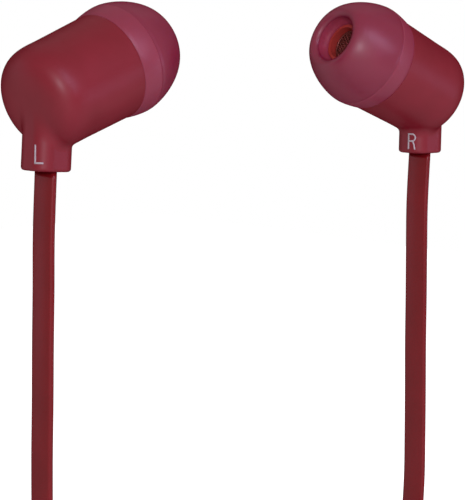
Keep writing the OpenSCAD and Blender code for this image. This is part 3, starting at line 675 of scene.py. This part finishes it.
def smooth_line(points, steps):
    """A Catmull-Rom curve through the points."""
    line = []
    last = len(points) - 1
    for i in range(last):
        a, b = points[max(i - 1, 0)], points[i]
        c, d = points[i + 1], points[min(i + 2, last)]
        for k in range(steps):
            t = k / steps
            line.append(0.5 * (2 * b + (c - a) * t + (2 * a - 5 * b + 4 * c - d) * t ** 2
                               + (3 * b - a - 3 * c + d) * t ** 3))
    return line + [points[-1]]


def lead_path(side):
    """One lead from its stem's foot to the splitter."""
    wound = lead_hank_line(1 if side == "left" else -1)[::-1]
    foot, end = placed([STEM_X, 0, STEM_Z], side), wound[0]
    line = [foot]
    for z, left_sway, right_sway, inward, outward in LEAD_BEND:
        sway = left_sway if side == "left" else right_sway
        line.append(np.array([foot[0] + sway + (end[0] - foot[0]) * inward,
                              end[1] + (foot[1] - end[1]) * outward, z]))
    return smooth_line(line + [end], 5) + wound[1:]


def main_path():
    """The main cord from the splitter to the plug."""
    wound = main_hank_line()
    start, end = wound[-1], np.array([*PLUG_AT, PLUG_TOP])
    way = end - start
    line = [start] + [start + way * [b, 1, c] for b, c in MAIN_BEND] + [end]
    return wound + smooth_line(line, 5)[1:]


def flat_section(width, thick, corner, crown):
    """Outline of the flat cord as (across, through), with slightly crowned faces."""
    outline = []
    for u, v, start in ((1, 1, 0), (-1, 1, 90), (-1, -1, 180), (1, -1, 270)):
        outline += arc(u * (width / 2 - corner), v * (thick / 2 - corner - crown), corner,
                       start, start + 90, 5)
        if start in (0, 180):
            for t in np.linspace(1, -1, 11)[1:-1]:
                outline.append((u * t * (width / 2 - corner),
                                v * (thick / 2 - crown * t * t)))
    return outline


def swept(path, section, start_dir):
    """Points and faces of a section swept along a path, its width kept near Y."""
    path = np.array(path)
    along = np.gradient(path, axis=0)
    along[0], along[-1] = start_dir, DOWN
    along /= np.linalg.norm(along, axis=1)[:, None]
    through = np.cross(along, ACROSS)
    through /= np.linalg.norm(through, axis=1)[:, None]
    across = np.cross(through, along)
    points = [path + u * across + v * through for u, v in section]
    points = np.stack(points, 1).reshape(-1, 3)
    n, m = len(section), len(path)
    faces = []
    for i in range(m - 1):
        for k in range(n):
            a, b = i * n + k, i * n + (k + 1) % n
            faces.append((a, b, b + n, a + n))
    faces.append(tuple(range(n))[::-1])
    faces.append(tuple((m - 1) * n + k for k in range(n)))
    return points, faces


# ------------------------------------------------------------------ materials

def srgb(r, g, b):
    """A linear colour from an 8-bit screen colour."""
    def channel(c):
        c /= 255
        return c / 12.92 if c <= 0.04045 else ((c + 0.055) / 1.055) ** 2.4
    return (channel(r), channel(g), channel(b), 1)


class Finish:
    """A node material round one Principled shader."""

    def __init__(self, name, **values):
        self.material = bpy.data.materials.new(name)
        self.material.use_nodes = True
        self.nodes = self.material.node_tree.nodes
        self.links = self.material.node_tree.links
        self.shader = self.nodes["Principled BSDF"]
        for key, value in values.items():
            self.shader.inputs[key.replace("_", " ")].default_value = value
        self.coords = self.nodes.new("ShaderNodeTexCoord").outputs["Object"]

    def noise(self, per_mm, detail=3.0, rough=0.5):
        node = self.nodes.new("ShaderNodeTexNoise")
        node.inputs["Scale"].default_value = per_mm / MM
        node.inputs["Detail"].default_value = detail
        node.inputs["Roughness"].default_value = rough
        self.links.new(self.coords, node.inputs["Vector"])
        return node.outputs["Fac"]

    def ramp(self, fac, stops):
        node = self.nodes.new("ShaderNodeValToRGB")
        node.color_ramp.elements[0].position, node.color_ramp.elements[0].color = stops[0]
        node.color_ramp.elements[1].position, node.color_ramp.elements[1].color = stops[-1]
        for place, colour in stops[1:-1]:
            node.color_ramp.elements.new(place).color = colour
        self.links.new(fac, node.inputs["Fac"])
        return node.outputs["Color"]

    def span(self, fac, low, high):
        node = self.nodes.new("ShaderNodeMapRange")
        node.inputs["To Min"].default_value = low
        node.inputs["To Max"].default_value = high
        self.links.new(fac, node.inputs["Value"])
        return node.outputs["Result"]

    def fade_coat(self, weight):
        """Gloss that gives way towards the rims, where it would show as a pale edge."""
        facing = self.nodes.new("ShaderNodeLayerWeight")
        facing.inputs["Blend"].default_value = 0.5
        fade = self.nodes.new("ShaderNodeMapRange")
        for name, value in (("From Min", 0.4), ("From Max", 0.97), ("To Min", weight),
                            ("To Max", 0.0)):
            fade.inputs[name].default_value = value
        self.links.new(facing.outputs["Facing"], fade.inputs["Value"])
        self.set("Coat Weight", fade.outputs["Result"])

    def bump(self, height, strength, distance_mm):
        node = self.nodes.new("ShaderNodeBump")
        node.inputs["Strength"].default_value = strength
        node.inputs["Distance"].default_value = distance_mm * MM
        self.links.new(height, node.inputs["Height"])
        self.links.new(node.outputs["Normal"], self.shader.inputs["Normal"])

    def set(self, socket, output):
        self.links.new(output, self.shader.inputs[socket])


def speckled(name, light, dark, rough, grain_per_mm, depth_mm, **values):
    """A moulded surface with faint colour variation and a fine grain."""
    finish = Finish(name, **values)
    finish.set("Base Color", finish.ramp(finish.noise(0.25), [(0.3, dark), (0.7, light)]))
    finish.set("Roughness", finish.span(finish.noise(1.5), rough - 0.04, rough + 0.04))
    finish.bump(finish.noise(grain_per_mm, 2.0), 0.25, depth_mm)
    if "Coat_Weight" in values:
        finish.fade_coat(values["Coat_Weight"])
    return finish.material


def soft_touch():
    return speckled("soft_touch_shell", srgb(122, 21, 34), srgb(116, 18, 30), 0.4, 9, 0.01,
                    Specular_IOR_Level=0.0, Coat_Weight=0.087, Coat_Roughness=0.39,
                    Coat_IOR=3.0)


def tip_silicone(name, light, dark):
    return speckled(name, light, dark, 0.32, 6, 0.006,
                    Specular_IOR_Level=0.0, Coat_Weight=0.12, Coat_Roughness=0.38,
                    Coat_IOR=3.0, Subsurface_Weight=0.12, Subsurface_Scale=0.0006)


def cord_rubber():
    return speckled("cord_rubber", srgb(118, 16, 22), srgb(110, 13, 18), 0.3, 8, 0.006,
                    Specular_IOR_Level=0.0, Coat_Weight=0.06, Coat_Roughness=0.24,
                    Coat_IOR=3.0)


# Lighter than the moulding's own red: a painted glow for the light that reaches deep into the
# bore, where the nozzle's end shows
def nozzle_shell():
    return speckled("nozzle_shell", srgb(172, 60, 54), srgb(162, 54, 48), 0.35, 6, 0.006,
                    Specular_IOR_Level=0.1)


def dark_plastic(name, value, rough):
    return speckled(name, srgb(value, value, value + 3), srgb(value - 8, value - 8, value - 6),
                    rough, 8, 0.008)


def metal(name, light, dark, rough):
    return speckled(name, light, dark, rough, 14, 0.004, Metallic=1.0)


SOFT_TOUCH, CORD = soft_touch(), cord_rubber()
SILICONE = tip_silicone("tip_silicone", srgb(124, 27, 51), srgb(118, 24, 47))
# The thin skirt and, most of all, the bore get a lighter silicone: a painted glow that stands in
# for light coming through
SKIRT_GLOW_SILICONE = tip_silicone("tip_silicone_skirt_glow", srgb(134, 40, 60), srgb(128, 37, 56))
BORE_GLOW_SILICONE = tip_silicone("tip_silicone_bore_glow", srgb(154, 54, 74), srgb(146, 50, 70))
PLASTIC = dark_plastic("black_plastic", 40, 0.45)
TIE = dark_plastic("tie_rubber", 42, 0.6)
WIRE_MESH = speckled("steel_mesh", srgb(112, 48, 42), srgb(96, 38, 34), 0.4, 10, 0.003,
                     Metallic=0.7)
PRINT = speckled("pad_print", srgb(186, 172, 172), srgb(174, 160, 160), 0.6, 12, 0.004,
                 Specular_IOR_Level=0.1)
GOLD = metal("gold_contact", srgb(226, 196, 130), srgb(216, 184, 118), 0.22)
FINISHES = {
    "soft_touch_shell": SOFT_TOUCH, "nozzle_shell": nozzle_shell(), "tip_silicone": SILICONE,
    "steel_mesh": WIRE_MESH, "black_plastic": PLASTIC,
    "plated_steel": metal("plated_steel", srgb(205, 206, 210), srgb(192, 193, 198), 0.3),
    "nickel_magnet": metal("nickel_magnet", srgb(180, 181, 184), srgb(168, 169, 173), 0.28),
    "copper_wire": metal("copper_wire", srgb(206, 128, 84), srgb(186, 108, 66), 0.35),
    "clear_film": speckled("clear_film", srgb(216, 212, 200), srgb(206, 202, 190), 0.2, 6, 0.004),
    "vent_paper": speckled("vent_paper", srgb(232, 228, 216), srgb(216, 211, 197), 0.85, 12, 0.02),
    "black_foam": dark_plastic("black_foam", 30, 0.9),
    "circuit_board": speckled("circuit_board", srgb(40, 110, 62), srgb(32, 98, 54), 0.35, 6,
                              0.004),
    "cord_rubber": CORD,
    "wire_insulation": speckled("wire_insulation", srgb(190, 120, 52), srgb(172, 104, 44), 0.3, 8,
                                0.004),
    "tie_rubber": TIE, "gold_contact": GOLD,
}


def dress(piece, material, body):
    """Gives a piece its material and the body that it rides."""
    piece.data.materials.clear()
    piece.data.materials.append(material)
    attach(piece, body)
    return piece


# The CAD's own pieces take their slot's finish
slot_of = {row["node"]: row["material_slot"] for row in frame["record"]["subparts"]}
for node, piece in frame["nodes"].items():
    piece.data.materials.clear()
    piece.data.materials.append(FINISHES[slot_of[node]])

# ------------------------------------------------------------------ camera

CAMERA_AT = (-137.15, -136.06, 3.87)
VIEW_AZIMUTH, VIEW_DOWN, VIEW_ROLL = 47.89, 7.96, 0.78
LENS, SENSOR = 124.8, 36.0


def make_camera():
    data = bpy.data.cameras.new("camera")
    data.lens, data.sensor_width = LENS, SENSOR
    data.clip_start, data.clip_end = 0.01, 10
    camera = bpy.data.objects.new("camera", data)
    bpy.context.scene.collection.objects.link(camera)
    turn, tilt, roll = (math.radians(a) for a in (VIEW_AZIMUTH, VIEW_DOWN, VIEW_ROLL))
    forward = Vector((math.sin(turn) * math.cos(tilt), math.cos(turn) * math.cos(tilt),
                      -math.sin(tilt)))
    right = Vector((math.cos(turn), -math.sin(turn), 0))
    up = right.cross(forward)
    right, up = (right * math.cos(roll) + up * math.sin(roll),
                 up * math.cos(roll) - right * math.sin(roll))
    rotation = Matrix((right, up, -forward)).transposed()
    camera.matrix_world = Matrix.Translation(Vector(CAMERA_AT) * MM) @ rotation.to_4x4()
    bpy.context.scene.camera = camera


make_camera()

# ------------------------------------------------------------------ pieces

TIP_TURNS = 120
tip_outline = tip_profile()
tip_points, tip_faces = revolved(tip_outline, TIP_TURNS, DOME_CENTRE, AXIS, RISING, ACROSS)
# Rows of the tip's faces, one to each point of its outline, on the skirt and in the bore, which
# get the lighter silicone of the painted glow
skirt_glow_rows = {row for row, (r, s) in enumerate(tip_outline)
             if s < CREASE_S - 0.1 and r > SKIRT_R - 0.4}
bore_glow_rows = {row for row, (r, s) in enumerate(tip_outline)
             if r <= MOUTH_R + 0.02 and s > SCREEN_S}
for side in ("left", "right"):
    shell = bud_piece(side + "_rear_shell_moulding", *rear_shell_net(SOFT_SIDE[side]), side)
    dress(shell, SOFT_TOUCH, "earphones")
    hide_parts(side + "_rear_shell")
    tip = bud_piece(side + "_silicone_tip", tip_points, tip_faces, None, side)
    dress(tip, SILICONE, side + "_tip")
    # The skirt's and the bore's faces take the lighter silicone, a painted glow
    for index, (material, rows) in enumerate(
            ((SKIRT_GLOW_SILICONE, skirt_glow_rows), (BORE_GLOW_SILICONE, bore_glow_rows)), 1):
        tip.data.materials.append(material)
        for face in tip.data.polygons:
            if face.index // TIP_TURNS in rows:
                face.material_index = index
    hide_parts(side + "_ear_tip")
    screen = bud_piece(side + "_woven_screen", *woven_screen(), None, side)
    dress(screen, WIRE_MESH, "earphones")
    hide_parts(side + "_nozzle_screen")
for side, letter, centre, facing in MARKS:
    mark = side_mark(side + "_side_mark", LETTERS[letter], centre, facing, side)
    dress(mark, PRINT, "earphones")

section = flat_section(CORD_W, CORD_T, CORD_CORNER, CORD_CROWN)
paths = {"left_cord": lead_path("left"), "right_cord": lead_path("right"),
         "main_cord": main_path()}
start_dirs = {"left_cord": PLACES["left"][0] @ DOWN, "right_cord": DOWN, "main_cord": DOWN}
cords = {}
for name, path in paths.items():
    cords[name] = make_mesh(name, *swept(path, section, start_dirs[name]))
    dress(cords[name], CORD, "earphones")
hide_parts("left_lead", "left_lead_hank")
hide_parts("right_lead", "right_lead_hank")
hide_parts("main_cord_hank", "main_cord_end")

on_hank = []
for name, side in (("splitter_left_shell", -1), ("splitter_right_shell", 1)):
    half = make_mesh(name + "_moulding", *splitter_half(side), flip=side < 0)
    dress(half, SOFT_TOUCH, "earphones")
    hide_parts(name)
    on_hank.append(half)
strap = make_mesh("hank_strap", *tie_band())
dress(strap, TIE, "earphones")
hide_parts("hank_tie")
on_hank.append(strap)
on_plug = [frame["nodes"][n] for n in ("plug_sleeve", "plug_insulators", "plug_ring", "plug_tip")]
for name, profile, height, material, slot in (
        ("plug_relief", relief_profile(), PLUG_TOP - RELIEF_LEN, CORD, "cord_rubber"),
        ("plug_body", BODY_PROFILE, PLUG_TOP - RELIEF_LEN - BODY_LEN, SOFT_TOUCH,
         "soft_touch_shell")):
    piece = make_mesh(name + "_moulding", *turned_solid(profile, 72, *PLUG_AT, height))
    dress(piece, material, "earphones")
    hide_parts(name)
    on_plug.append(piece)
for name, length, far_end, others in (("left_cord", 0.447, "fitting", on_hank),
                                      ("right_cord", 0.446, "fitting", on_hank),
                                      ("main_cord", 0.719, "plug", on_plug)):
    path = np.array(paths[name]) * MM

# ------------------------------------------------------------------ stage and light

FLOOR_Z, FLOOR_HALF = cad_low.z / MM - 14, 900.0
AMBIENT = 0.25


def stage_material():
    """Pale floor that shows white to the camera and still takes shadows."""
    material = bpy.data.materials.new("floor")
    material.use_nodes = True
    nodes, links = material.node_tree.nodes, material.node_tree.links
    nodes.clear()
    out = nodes.new("ShaderNodeOutputMaterial")
    diffuse = nodes.new("ShaderNodeBsdfDiffuse")
    diffuse.inputs["Color"].default_value = (0.8, 0.8, 0.8, 1)
    glow = nodes.new("ShaderNodeEmission")
    add = nodes.new("ShaderNodeAddShader")
    path = seen_directly(nodes, links)
    # It glows less near the object, where the shadow falls: distances in metres
    place = nodes.new("ShaderNodeTexCoord").outputs["Object"]
    away = nodes.new("ShaderNodeVectorMath")
    away.operation = "DISTANCE"
    away.inputs[1].default_value = (MOUTH_GAP / 2 * MM, 0, FLOOR_Z * MM)
    links.new(place, away.inputs[0])
    level = nodes.new("ShaderNodeMapRange")
    for name, value in (("From Min", 0.1), ("From Max", 0.3), ("To Min", 0.5), ("To Max", 1.0)):
        level.inputs[name].default_value = value
    links.new(away.outputs["Value"], level.inputs["Value"])
    glowing = nodes.new("ShaderNodeMath")
    glowing.operation = "MULTIPLY"
    links.new(path, glowing.inputs[0])
    links.new(level.outputs[0], glowing.inputs[1])
    links.new(glowing.outputs[0], glow.inputs["Strength"])
    links.new(diffuse.outputs[0], add.inputs[0])
    links.new(glow.outputs[0], add.inputs[1])
    links.new(add.outputs[0], out.inputs["Surface"])
    return material


def seen_directly(nodes, links):
    """1 for camera, glossy and transmission rays, otherwise 0."""
    path = nodes.new("ShaderNodeLightPath")
    value = path.outputs["Is Camera Ray"]
    for name in ("Is Glossy Ray", "Is Transmission Ray"):
        either = nodes.new("ShaderNodeMath")
        either.operation = "MAXIMUM"
        links.new(value, either.inputs[0])
        links.new(path.outputs[name], either.inputs[1])
        value = either.outputs[0]
    return value


def make_floor():
    corners = [(x * FLOOR_HALF, y * FLOOR_HALF, FLOOR_Z)
               for x, y in ((-1, -1), (1, -1), (1, 1), (-1, 1))]
    floor = make_mesh("floor", np.array(corners), [(0, 1, 2, 3)])
    floor.data.materials.append(stage_material())


def make_world():
    world = bpy.data.worlds.new("studio")
    bpy.context.scene.world = world
    world.use_nodes = True
    nodes, links = world.node_tree.nodes, world.node_tree.links
    nodes.clear()
    out = nodes.new("ShaderNodeOutputWorld")
    back = nodes.new("ShaderNodeBackground")
    back.inputs["Color"].default_value = (1, 1, 1, 1)
    level = nodes.new("ShaderNodeMapRange")
    level.inputs["To Min"].default_value = AMBIENT
    level.inputs["To Max"].default_value = 1.0
    links.new(seen_directly(nodes, links), level.inputs["Value"])
    links.new(level.outputs[0], back.inputs["Strength"])
    links.new(back.outputs[0], out.inputs["Surface"])


# The lamps' distances are from here, and they all face it
LIT_PLACE = Vector((11, -3, -8))


def make_lamp(name, azimuth, elevation, distance, size, level, colour, roll=0.0):
    """An area lamp, its azimuth from +Y. The level is what a white surface would show."""
    turn, lift = math.radians(azimuth), math.radians(elevation)
    way = Vector((math.sin(turn) * math.cos(lift), math.cos(turn) * math.cos(lift),
                  math.sin(lift)))
    data = bpy.data.lights.new(name, "AREA")
    data.shape = "RECTANGLE"
    data.size, data.size_y = size[0] * MM, size[1] * MM
    data.energy = level * (math.pi * distance * MM) ** 2
    data.color = colour
    lamp = bpy.data.objects.new(name, data)
    bpy.context.scene.collection.objects.link(lamp)
    lamp.location = (LIT_PLACE + distance * way) * MM
    lamp.rotation_mode = "QUATERNION"
    lamp.rotation_quaternion = (
        (-way).to_track_quat("-Z", "Y") @ Quaternion((0, 0, 1), math.radians(roll)))


make_floor()
make_world()
make_lamp("front", -138, 14, 420, (480, 420), 0.335, (0.97, 1.0, 1.2))
make_lamp("strip", -176, 30, 420, (50, 370), 0.33, (0.95, 0.82, 1.3), roll=37)
make_lamp("side", 140, -4, 420, (24, 150), 0.06, (0.95, 0.82, 1.35))
make_lamp("pip", -134, 13, 420, (44, 60), 0.28, (0.98, 0.95, 1.05))
make_lamp("left", -40, 5, 420, (160, 300), 0.06, (1, 0.9, 1.2))
make_lamp("back", 48, 35, 500, (450, 450), 0.3, (1, 1, 1))

bpy.context.scene.view_settings.view_transform = "Standard"
